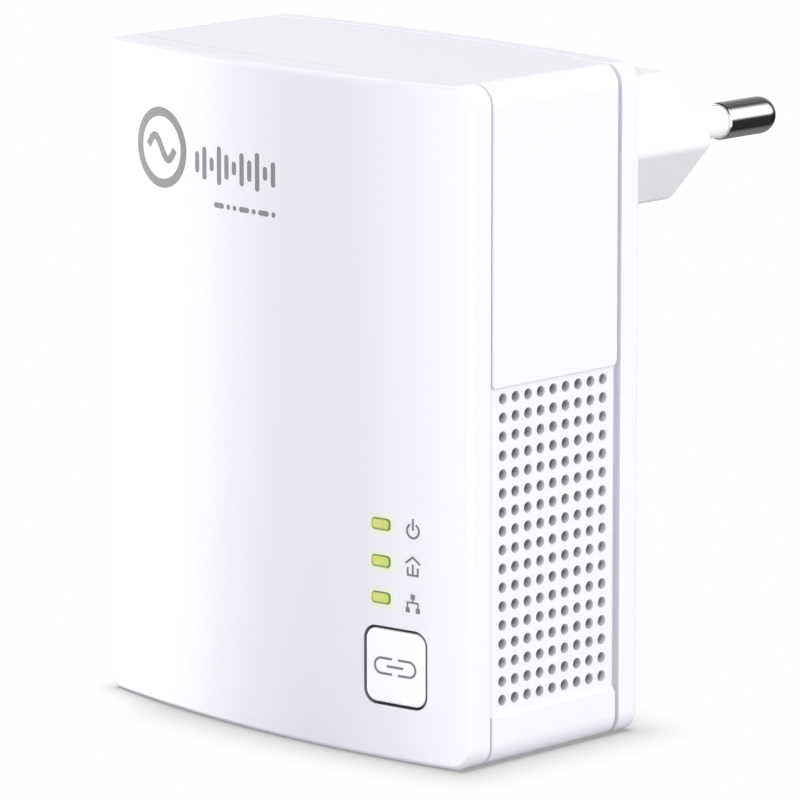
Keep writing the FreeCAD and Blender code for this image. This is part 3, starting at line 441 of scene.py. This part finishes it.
BY_NODE = {
    "front_cover": "front", "mid_housing": "mid", "rear_cover": "rear", "pair_button": "button",
    "led_light_pipe": "pipe", "rating_label": "label", "plug_pins": "pin", "pin_sleeves": "sleeve",
    "pin_retainer": "inner_black", "choke_base": "bobbin", "transformer_bobbin": "bobbin",
    "switch_plunger": "plunger", "switch_base": "jack_black", "header_body": "jack_black",
    "ethernet_jack_housing": "jack_black", "insulation_sheet": "sheet",
    "retainer_screws": "steel", "board_screws": "steel", "case_screws": "steel",
    "power_board_screws": "steel", "switch_cover": "shield", "ethernet_jack_shield": "shield",
    "crystals": "crystal", "ethernet_contacts": "gold", "header_pins": "gold",
    "pin_terminals": "brass", "switch_contacts": "brass", "main_board": "board",
    "power_board": "board", "status_leds": "led", "powerline_chip": "chip",
    "ethernet_phy_chip": "chip", "memory_chips": "chip", "ethernet_transformer": "chip",
    "regulator_chips": "chip", "bridge_rectifier": "chip", "switching_chip": "chip",
    "optocoupler": "chip", "output_diode": "chip", "fuse": "fusecase", "power_inductors": "ferrite",
    "heat_sink": "sink", "thermal_pad": "pad", "choke_core": "ferrite", "transformer_core": "ferrite",
    "inductor_core": "ferrite", "choke_winding": "copper", "inductor_winding": "copper",
    "transformer_winding": "tape", "coupling_transformer": "tape", "bulk_capacitors": "cap",
    "output_capacitors": "cap", "x_capacitor": "film", "coupling_capacitor": "film",
    "y_capacitor": "disc", "varistor": "disc",
}
for name, o in NODES.items():
    mat = MAT[BY_NODE[name]]
    for s in o.material_slots:
        s.material = mat

# ------------------------------------------------------------ printed marks
def front_y(x, lift=0.0):
    """Y of the front face at x, in millimetres; lift is how far out of it."""
    return Y_FRONT - SAG_FRONT - lift + (ARC_R - math.sqrt(ARC_R * ARC_R - x * x))


def resample(pts, closed, step=0.35):
    out = []
    n = len(pts)
    last = n if closed else n - 1
    for i in range(last):
        a, b = Vector(pts[i]), Vector(pts[(i + 1) % n])
        k = max(1, int(math.ceil((b - a).length / step)))
        for j in range(k):
            out.append(a.lerp(b, j / k))
    if not closed:
        out.append(Vector(pts[-1]))
    return out


def arc(cx, cz, r, a0, a1, n=None):
    n = n or max(6, int(abs(a1 - a0) / 7))
    return [(cx + r * math.cos(math.radians(a0 + (a1 - a0) * i / n)),
             cz + r * math.sin(math.radians(a0 + (a1 - a0) * i / n))) for i in range(n + 1)]


class Ink:
    """A thin printed layer on the bulging front face, as closed strips."""

    def __init__(self, name, lift=0.012, sink=0.01, surface=front_y):
        self.name, self.lift, self.sink, self.bm = name, lift, sink, bmesh.new()
        self.surface = surface

    def _strip(self, left, right, closed):
        s = self.surface
        top = [[self.bm.verts.new(Vector((p.x, s(p.x, self.lift), p.y)) * MM) for p in side] for side in (left, right)]
        low = [[self.bm.verts.new(Vector((p.x, s(p.x, -self.sink), p.y)) * MM) for p in side] for side in (left, right)]
        n = len(left)
        rng = range(n if closed else n - 1)
        f = self.bm.faces.new
        for i in rng:
            j = (i + 1) % n
            f((top[0][i], top[0][j], top[1][j], top[1][i]))
            f((low[0][i], low[1][i], low[1][j], low[0][j]))
            f((top[0][i], low[0][i], low[0][j], top[0][j]))
            f((top[1][i], top[1][j], low[1][j], low[1][i]))
        if not closed:
            f((top[0][0], top[1][0], low[1][0], low[0][0]))
            f((top[0][-1], low[0][-1], low[1][-1], top[1][-1]))

    def line(self, pts, width, closed=False, step=0.35):
        """A stroke with mitred corners."""
        pts = resample(pts, closed, step)
        n = len(pts)
        left, right = [], []
        for i, p in enumerate(pts):
            if closed:
                a, b = pts[i - 1], pts[(i + 1) % n]
            else:
                a, b = pts[max(i - 1, 0)], pts[min(i + 1, n - 1)]
            d1 = (p - a).normalized() if (p - a).length > 1e-9 else (b - p).normalized()
            d2 = (b - p).normalized() if (b - p).length > 1e-9 else d1
            nrm1, nrm2 = Vector((-d1.y, d1.x)), Vector((-d2.y, d2.x))
            m = (nrm1 + nrm2).normalized()
            k = width / 2 / max(0.35, m.dot(nrm1))
            left.append(p + m * k)
            right.append(p - m * k)
        self._strip(left, right, closed)
        return self

    def bar(self, x0, x1, z0, z1, r=0.0):
        """A filled bar, its ends rounded by r."""
        n = max(2, int((x1 - x0) / 0.4))
        xs = [x0 + (x1 - x0) * i / n for i in range(n + 1)]
        if r:
            add = []
            for i in range(1, 6):
                t = r * (1 - math.cos(math.pi / 2 * i / 6))
                add += [x0 + t, x1 - t]
            xs = sorted(set(round(v, 5) for v in xs + add + [x0 + r, x1 - r]))
        left, right = [], []
        for v in xs:
            cut = 0.0
            e = min(v - x0, x1 - v)
            if r and e < r:
                cut = r - math.sqrt(max(0.0, r * r - (r - e) ** 2))
                cut = min(cut, (z1 - z0) / 2 - 0.01)
            left.append(Vector((v, z1 - cut)))
            right.append(Vector((v, z0 + cut)))
        self._strip(left, right, False)
        return self

    def done(self, material, body="casing"):
        bmesh.ops.recalc_face_normals(self.bm, faces=self.bm.faces)
        me = bpy.data.meshes.new(self.name)
        self.bm.to_mesh(me)
        self.bm.free()
        o = bpy.data.objects.new(self.name, me)
        bpy.context.scene.collection.objects.link(o)
        me.materials.append(material)
        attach(o, body)
        return o


def ink_material(name, colour, rough=0.42):
    m, t, p = principled(name)
    n = t.noise(2.5, 3.0)
    t.put(p.inputs["Base Color"], t.mix(n, [c * 0.95 for c in colour], [min(1, c * 1.05) for c in colour]))
    t.put(p.inputs["Roughness"], t.scale(t.noise(4.0), rough - 0.05, rough + 0.06))
    bump(t, p, t.noise(8.0, 2.0), 0.2, 0.004)
    return m


GREY = ink_material("ink_grey", (0.118, 0.116, 0.126))
LOGO = ink_material("ink_grey_light", (0.145, 0.143, 0.150))

# power symbol
px, pz = 19.97, 24.30
i = Ink("print_power_symbol")
i.line(arc(px, pz, 0.73, 118, 422), 0.25)
i.line([(px, pz + 0.04), (px, pz + 1.28)], 0.25)
i.done(GREY)
# house symbol: roof over an open box with a middle stroke
hx, hz = 19.95, 20.58
i = Ink("print_house_symbol")
i.line([(hx - 0.90, hz + 0.32), (hx, hz + 1.00), (hx + 0.90, hz + 0.32)], 0.24)
i.line([(hx - 0.62, hz - 0.06), (hx - 0.62, hz - 0.86), (hx + 0.62, hz - 0.86), (hx + 0.62, hz - 0.06)], 0.24)
i.line([(hx, hz - 0.735), (hx, hz + 0.28)], 0.24)
i.done(GREY)
# network symbol: one block over two, joined
nx, nz = 19.95, 16.76
i = Ink("print_network_symbol")
i.bar(nx - 0.27, nx + 0.27, nz + 0.44, nz + 0.98)
i.bar(nx - 0.88, nx - 0.36, nz - 0.95, nz - 0.41)
i.bar(nx + 0.36, nx + 0.88, nz - 0.95, nz - 0.41)
i.line([(nx - 0.65, nz - 0.40), (nx - 0.65, nz + 0.10), (nx + 0.65, nz + 0.10), (nx + 0.65, nz - 0.40)], 0.20)
i.line([(nx, nz + 0.21), (nx, nz + 0.43)], 0.20)
i.done(GREY)

# pairing symbol on the button: two chain links, one passing through the other
def pill(cx, cz, half, r):
    return arc(cx - half, cz, r, 90, 270) + arc(cx + half, cz, r, -90, 90)


i = Ink("print_pairing_symbol")
for side, open_at in ((-1, 0), (1, 180)):
    cx, h, r = BX + side * 1.12, 0.62, 0.80
    # a link open towards the middle, the two of them facing each other
    if side < 0:
        pts = [(cx + h + 0.12, BZ - r)] + list(reversed(arc(cx - h, BZ, r, 90, 270))) + [(cx + h + 0.12, BZ + r)]
    else:
        pts = [(cx - h - 0.12, BZ - r)] + arc(cx + h, BZ, r, -90, 90) + [(cx - h - 0.12, BZ + r)]
    i.line(pts, 0.26, step=0.25)
i.line([(BX - 1.05, BZ), (BX + 1.05, BZ)], 0.26)
i.done(GREY, "pair_button")

# generic mark in the place of a maker's: a sine wave in a ring, then pulse bars
LX, LZ, LR = -16.1, 59.5, 3.75
i = Ink("print_wave_mark")
i.line(arc(LX, LZ, LR, 0, 360, 72)[:-1], 0.95, closed=True)
wave = [(LX - 2.25 + 4.5 * k / 40, LZ + 1.15 * math.sin(2 * math.pi * k / 40)) for k in range(41)]
i.line(wave, 0.80, step=0.2)
i.done(LOGO)
i = Ink("print_pulse_bars")
x = -10.4
for k, (w, hgt) in enumerate([(0.62, 2.2), (0.62, 3.4), (0.62, 1.4), (0.62, 4.0), (0.62, 2.6), (0.62, 1.4), (0.62, 3.4),
                              (0.62, 2.2), (0.62, 4.0), (0.62, 1.4), (0.62, 2.6)]):
    i.bar(x, x + w, 58.75 - hgt / 2, 58.75 + hgt / 2, 0.28)
    x += 1.16
i.done(LOGO)
i = Ink("print_dash_row")
x = -7.4
for k, w in enumerate([1.5, 0.55, 0.55, 1.5, 0.55, 1.5, 0.55]):
    i.bar(x, x + w, 54.35, 54.90, 0.26)
    x += w + 0.42
i.done(LOGO)

# ------------------------------------------------------------------- floor
me = bpy.data.meshes.new("floor")
bm = bmesh.new()
bmesh.ops.create_circle(bm, cap_ends=True, radius=4.0, segments=96)
bm.to_mesh(me)
bm.free()
floor = bpy.data.objects.new("floor", me)
bpy.context.scene.collection.objects.link(floor)
m = bpy.data.materials.new("floor_white_painted_shadow")
m.use_nodes = True
t = Tree(m.node_tree)
out = t.add("ShaderNodeOutputMaterial")
lp = t.add("ShaderNodeLightPath")
fx, fy, fz = t.xyz()
# painted shadow: camera rays see an emission whose ramp darkens the floor near the casing, a painted contact shadow;
# other rays see a plain diffuse floor
# distance from the casing's footprint: a rectangle with bowed front and rear
xx = t.math("POWER", t.math("DIVIDE", t.math("MINIMUM", t.math("ABSOLUTE", fx), 26.75), 26.75), 2.0)
y_f = t.math("ADD", t.math("MULTIPLY", xx, SAG_FRONT), Y_FRONT - SAG_FRONT + 0.4)
y_b = t.math("SUBTRACT", -4.3, t.math("MULTIPLY", xx, 1.85))
ddx = t.math("MAXIMUM", t.math("SUBTRACT", t.math("ABSOLUTE", fx), 25.6), 0.0)
tight = t.math("ADD", 1.0, t.math("MULTIPLY", t.step(t.math("MULTIPLY", fx, -1.0), 14.0, 26.0), 1.8))   # the shade is short at the left
ddx = t.math("MULTIPLY", ddx, tight)
ddy = t.math("MULTIPLY", t.math("MAXIMUM", t.math("MAXIMUM", t.math("SUBTRACT", fy, y_b), t.math("SUBTRACT", y_f, fy)), 0.0), tight)
dist = t.math("SQRT", t.math("ADD", t.math("MULTIPLY", ddx, ddx), t.math("MULTIPLY", ddy, ddy)))
shade = t.add("ShaderNodeValToRGB")
cr = shade.color_ramp
cr.interpolation = "EASE"
while len(cr.elements) > 1:
    cr.elements.remove(cr.elements[-1])
SHADE = [(0.0, 0.36), (0.5, 0.58), (1.0, 0.70), (2.0, 0.79), (3.2, 0.86), (4.6, 0.92), (6.2, 0.965), (8.5, 0.99), (12.0, 1.0)]
cr.elements[0].position, cr.elements[0].color = 0.0, (SHADE[0][1], SHADE[0][1], SHADE[0][1] * 1.01, 1)
for dmm, v in SHADE[1:]:
    e = cr.elements.new(dmm / 16.0)
    e.color = (v, v, min(1.0, v * 1.004), 1)
t.link(t.math("DIVIDE", dist, 16.0), shade.inputs[0])
em = t.add("ShaderNodeEmission")
t.link(shade.outputs["Color"], em.inputs["Color"])
em.inputs["Strength"].default_value = 1.0
d_other = t.add("ShaderNodeBsdfDiffuse")
t.put(d_other.inputs["Color"], t.mix(t.noise(0.02), (0.555, 0.555, 0.56), (0.585, 0.585, 0.59)))
mx = t.add("ShaderNodeMixShader")
t.link(lp.outputs["Is Camera Ray"], mx.inputs[0])
t.link(d_other.outputs[0], mx.inputs[1])
t.link(em.outputs[0], mx.inputs[2])
t.link(mx.outputs[0], out.inputs["Surface"])
me.materials.append(m)
floor.location.z = -0.00003      # a hair under the bottom face, so the two never lie in one plane
floor.visible_glossy = False

# ------------------------------------------------------------------- world
world = bpy.data.worlds.new("studio")
bpy.context.scene.world = world
world.use_nodes = True
t = Tree(world.node_tree)
out = t.add("ShaderNodeOutputWorld")
tc = t.add("ShaderNodeTexCoord")
sep = t.add("ShaderNodeSeparateXYZ")
t.link(tc.outputs["Generated"], sep.inputs[0])
dx, dy, dz = sep.outputs[0], sep.outputs[1], sep.outputs[2]
az = t.math("ARCTAN2", dx, t.math("MULTIPLY", dy, -1.0))          # 0 in front, + to the right
az01 = t.math("ADD", t.math("DIVIDE", az, 2 * math.pi), 0.5)
el = t.math("ARCSINE", dz)


def ramp(t, fac, stops):
    n = t.add("ShaderNodeValToRGB")
    cr = n.color_ramp
    cr.interpolation = "B_SPLINE"
    while len(cr.elements) > 1:
        cr.elements.remove(cr.elements[-1])
    cr.elements[0].position = stops[0][0]
    cr.elements[0].color = (stops[0][1],) * 3 + (1,)
    for pos, v in stops[1:]:
        e = cr.elements.new(pos)
        e.color = (v,) * 3 + (1,)
    t.link(fac, n.inputs[0])
    return n.outputs["Color"]


def A(deg):
    return deg / 360.0 + 0.5


# what glossy surfaces see: tall soft boxes left and right of the camera, darker between and behind
GL = 6.0
strip = ramp(t, az01, [
    (A(-179), 0.015), (A(-150), 0.06), (A(-125), 0.05), (A(-100), 0.40), (A(-75), 1.05), (A(-62), 1.05),
    (A(-54), 0.74), (A(-48), 0.34), (A(-42), 0.04), (A(-37), 0.03), (A(-31), 0.18), (A(-25.5), 0.62),
    (A(-20), 1.25), (A(-10), 1.28), (A(15), 0.92), (A(60), 0.60), (A(120), 0.45), (A(140), 0.45),
    (A(153), 0.42), (A(163), 0.16), (A(172), 0.03)])
s2 = t.add("ShaderNodeVectorMath", operation="SCALE")
t.link(strip, s2.inputs[0])
s2.inputs["Scale"].default_value = GL
down = t.math("MULTIPLY", el, -1.0)
back = t.step(dy, 0.1, 0.5)
back_r = t.math("MULTIPLY", back, t.step(dx, -0.25, 0.10))       # what the pins and the right side see
back_l = t.math("SUBTRACT", back, back_r)
fore = t.math("SUBTRACT", 1.0, back)


def edge_of_band(v, right, left, front):
    total = t.math("MULTIPLY", t.step(v, *[math.radians(a) for a in right]), back_r)
    total = t.math("ADD", total, t.math("MULTIPLY", t.step(v, *[math.radians(a) for a in left]), back_l))
    return t.math("ADD", total, t.math("MULTIPLY", t.step(v, *[math.radians(a) for a in front]), fore))


low = edge_of_band(down, (-16, 2), (6, 27), (19, 31))
high = edge_of_band(el, (46, 62), (11, 33), (19, 31))
band = t.math("SUBTRACT", 1.0, t.math("ADD", high, low))
s3 = t.add("ShaderNodeVectorMath", operation="SCALE")
t.link(s2.outputs[0], s3.inputs[0])
t.link(t.math("ADD", t.math("MULTIPLY", band, 0.985), 0.015), s3.inputs["Scale"])


def soft_box(az_deg, el_deg, r_in, r_out, level):
    """A round soft box for glossy rays, in the given direction."""
    a, e = math.radians(az_deg), math.radians(el_deg)
    d = Vector((math.sin(a) * math.cos(e), -math.cos(a) * math.cos(e), math.sin(e)))
    dot = t.add("ShaderNodeVectorMath", operation="DOT_PRODUCT")
    t.link(nrm.outputs[0], dot.inputs[0])
    dot.inputs[1].default_value = d
    return t.math("MULTIPLY", t.step(dot.outputs["Value"], math.cos(math.radians(r_out)),
                                     math.cos(math.radians(r_in))), level)


nrm = t.add("ShaderNodeVectorMath", operation="NORMALIZE")
t.link(tc.outputs["Generated"], nrm.inputs[0])
boxlight = soft_box(217, 33, 13, 30, 0.22)                      # top edge of the pins
boxlight = t.math("ADD", boxlight, soft_box(198, -46, 12, 34, 0.26))  # floor glow under the pins
cmb = t.add("ShaderNodeCombineXYZ")
for s in cmb.inputs:
    t.link(boxlight, s)
gl = t.add("ShaderNodeVectorMath", operation="ADD")
t.link(s3.outputs[0], gl.inputs[0])
t.link(cmb.outputs[0], gl.inputs[1])
# what lights the object: an even white room, stronger from the right, a little stronger from the left, a little weaker
# from above and weaker from the front
DIF, D_RIGHT, D_LEFT, D_TOP, D_FRONT = 1.20, 1.19, 0.20, -0.10, -0.49


def toward(v, k):
    return t.math("MULTIPLY", t.math("MAXIMUM", v, 0.0), k)


dif = t.math("ADD", DIF, toward(dx, D_RIGHT))
dif = t.math("ADD", dif, toward(t.math("MULTIPLY", dx, -1.0), D_LEFT))
dif = t.math("ADD", dif, toward(dz, D_TOP))
dif = t.math("ADD", dif, toward(t.math("MULTIPLY", dy, -1.0), D_FRONT))
cd = t.add("ShaderNodeCombineXYZ")
for s in cd.inputs:
    t.link(dif, s)
lp = t.add("ShaderNodeLightPath")
sel = t.add("ShaderNodeMix", data_type="RGBA")
t.link(lp.outputs["Is Glossy Ray"], sel.inputs["Factor"])
t.link(cd.outputs[0], sel.inputs[6])
t.link(gl.outputs[0], sel.inputs[7])
sel2 = t.add("ShaderNodeMix", data_type="RGBA")
t.link(lp.outputs["Is Camera Ray"], sel2.inputs["Factor"])
t.link(sel.outputs[2], sel2.inputs[6])
sel2.inputs[7].default_value = (1, 1, 1, 1)
bg = t.add("ShaderNodeBackground")
t.link(sel2.outputs[2], bg.inputs["Color"])
t.link(bg.outputs[0], out.inputs["Surface"])

# a broad soft key, high on the left, for the faint shading that gives form
key = bpy.data.lights.new("key_softbox", "AREA")
key.shape, key.size, key.size_y, key.energy = "RECTANGLE", 0.7, 0.7, 1.1
ko = bpy.data.objects.new("key_softbox", key)
bpy.context.scene.collection.objects.link(ko)
ko.location = (-0.45, -0.55, 0.75)
ko.rotation_mode = "QUATERNION"
ko.rotation_quaternion = (Vector((0, -0.015, 0.035)) - Vector(ko.location)).to_track_quat("-Z", "Y")
ko.visible_glossy = False

# a small card light above the left end, so that the top face falls off to the right
fill = bpy.data.lights.new("top_fill", "AREA")
fill.shape, fill.size, fill.energy = "DISK", 0.05, 0.002
fo = bpy.data.objects.new("top_fill", fill)
bpy.context.scene.collection.objects.link(fo)
fo.location = (-0.085, -0.010, 0.128)
fo.rotation_mode = "QUATERNION"
fo.rotation_quaternion = (Vector((-0.01, -0.018, 0.070)) - Vector(fo.location)).to_track_quat("-Z", "Y")
fo.visible_glossy = False
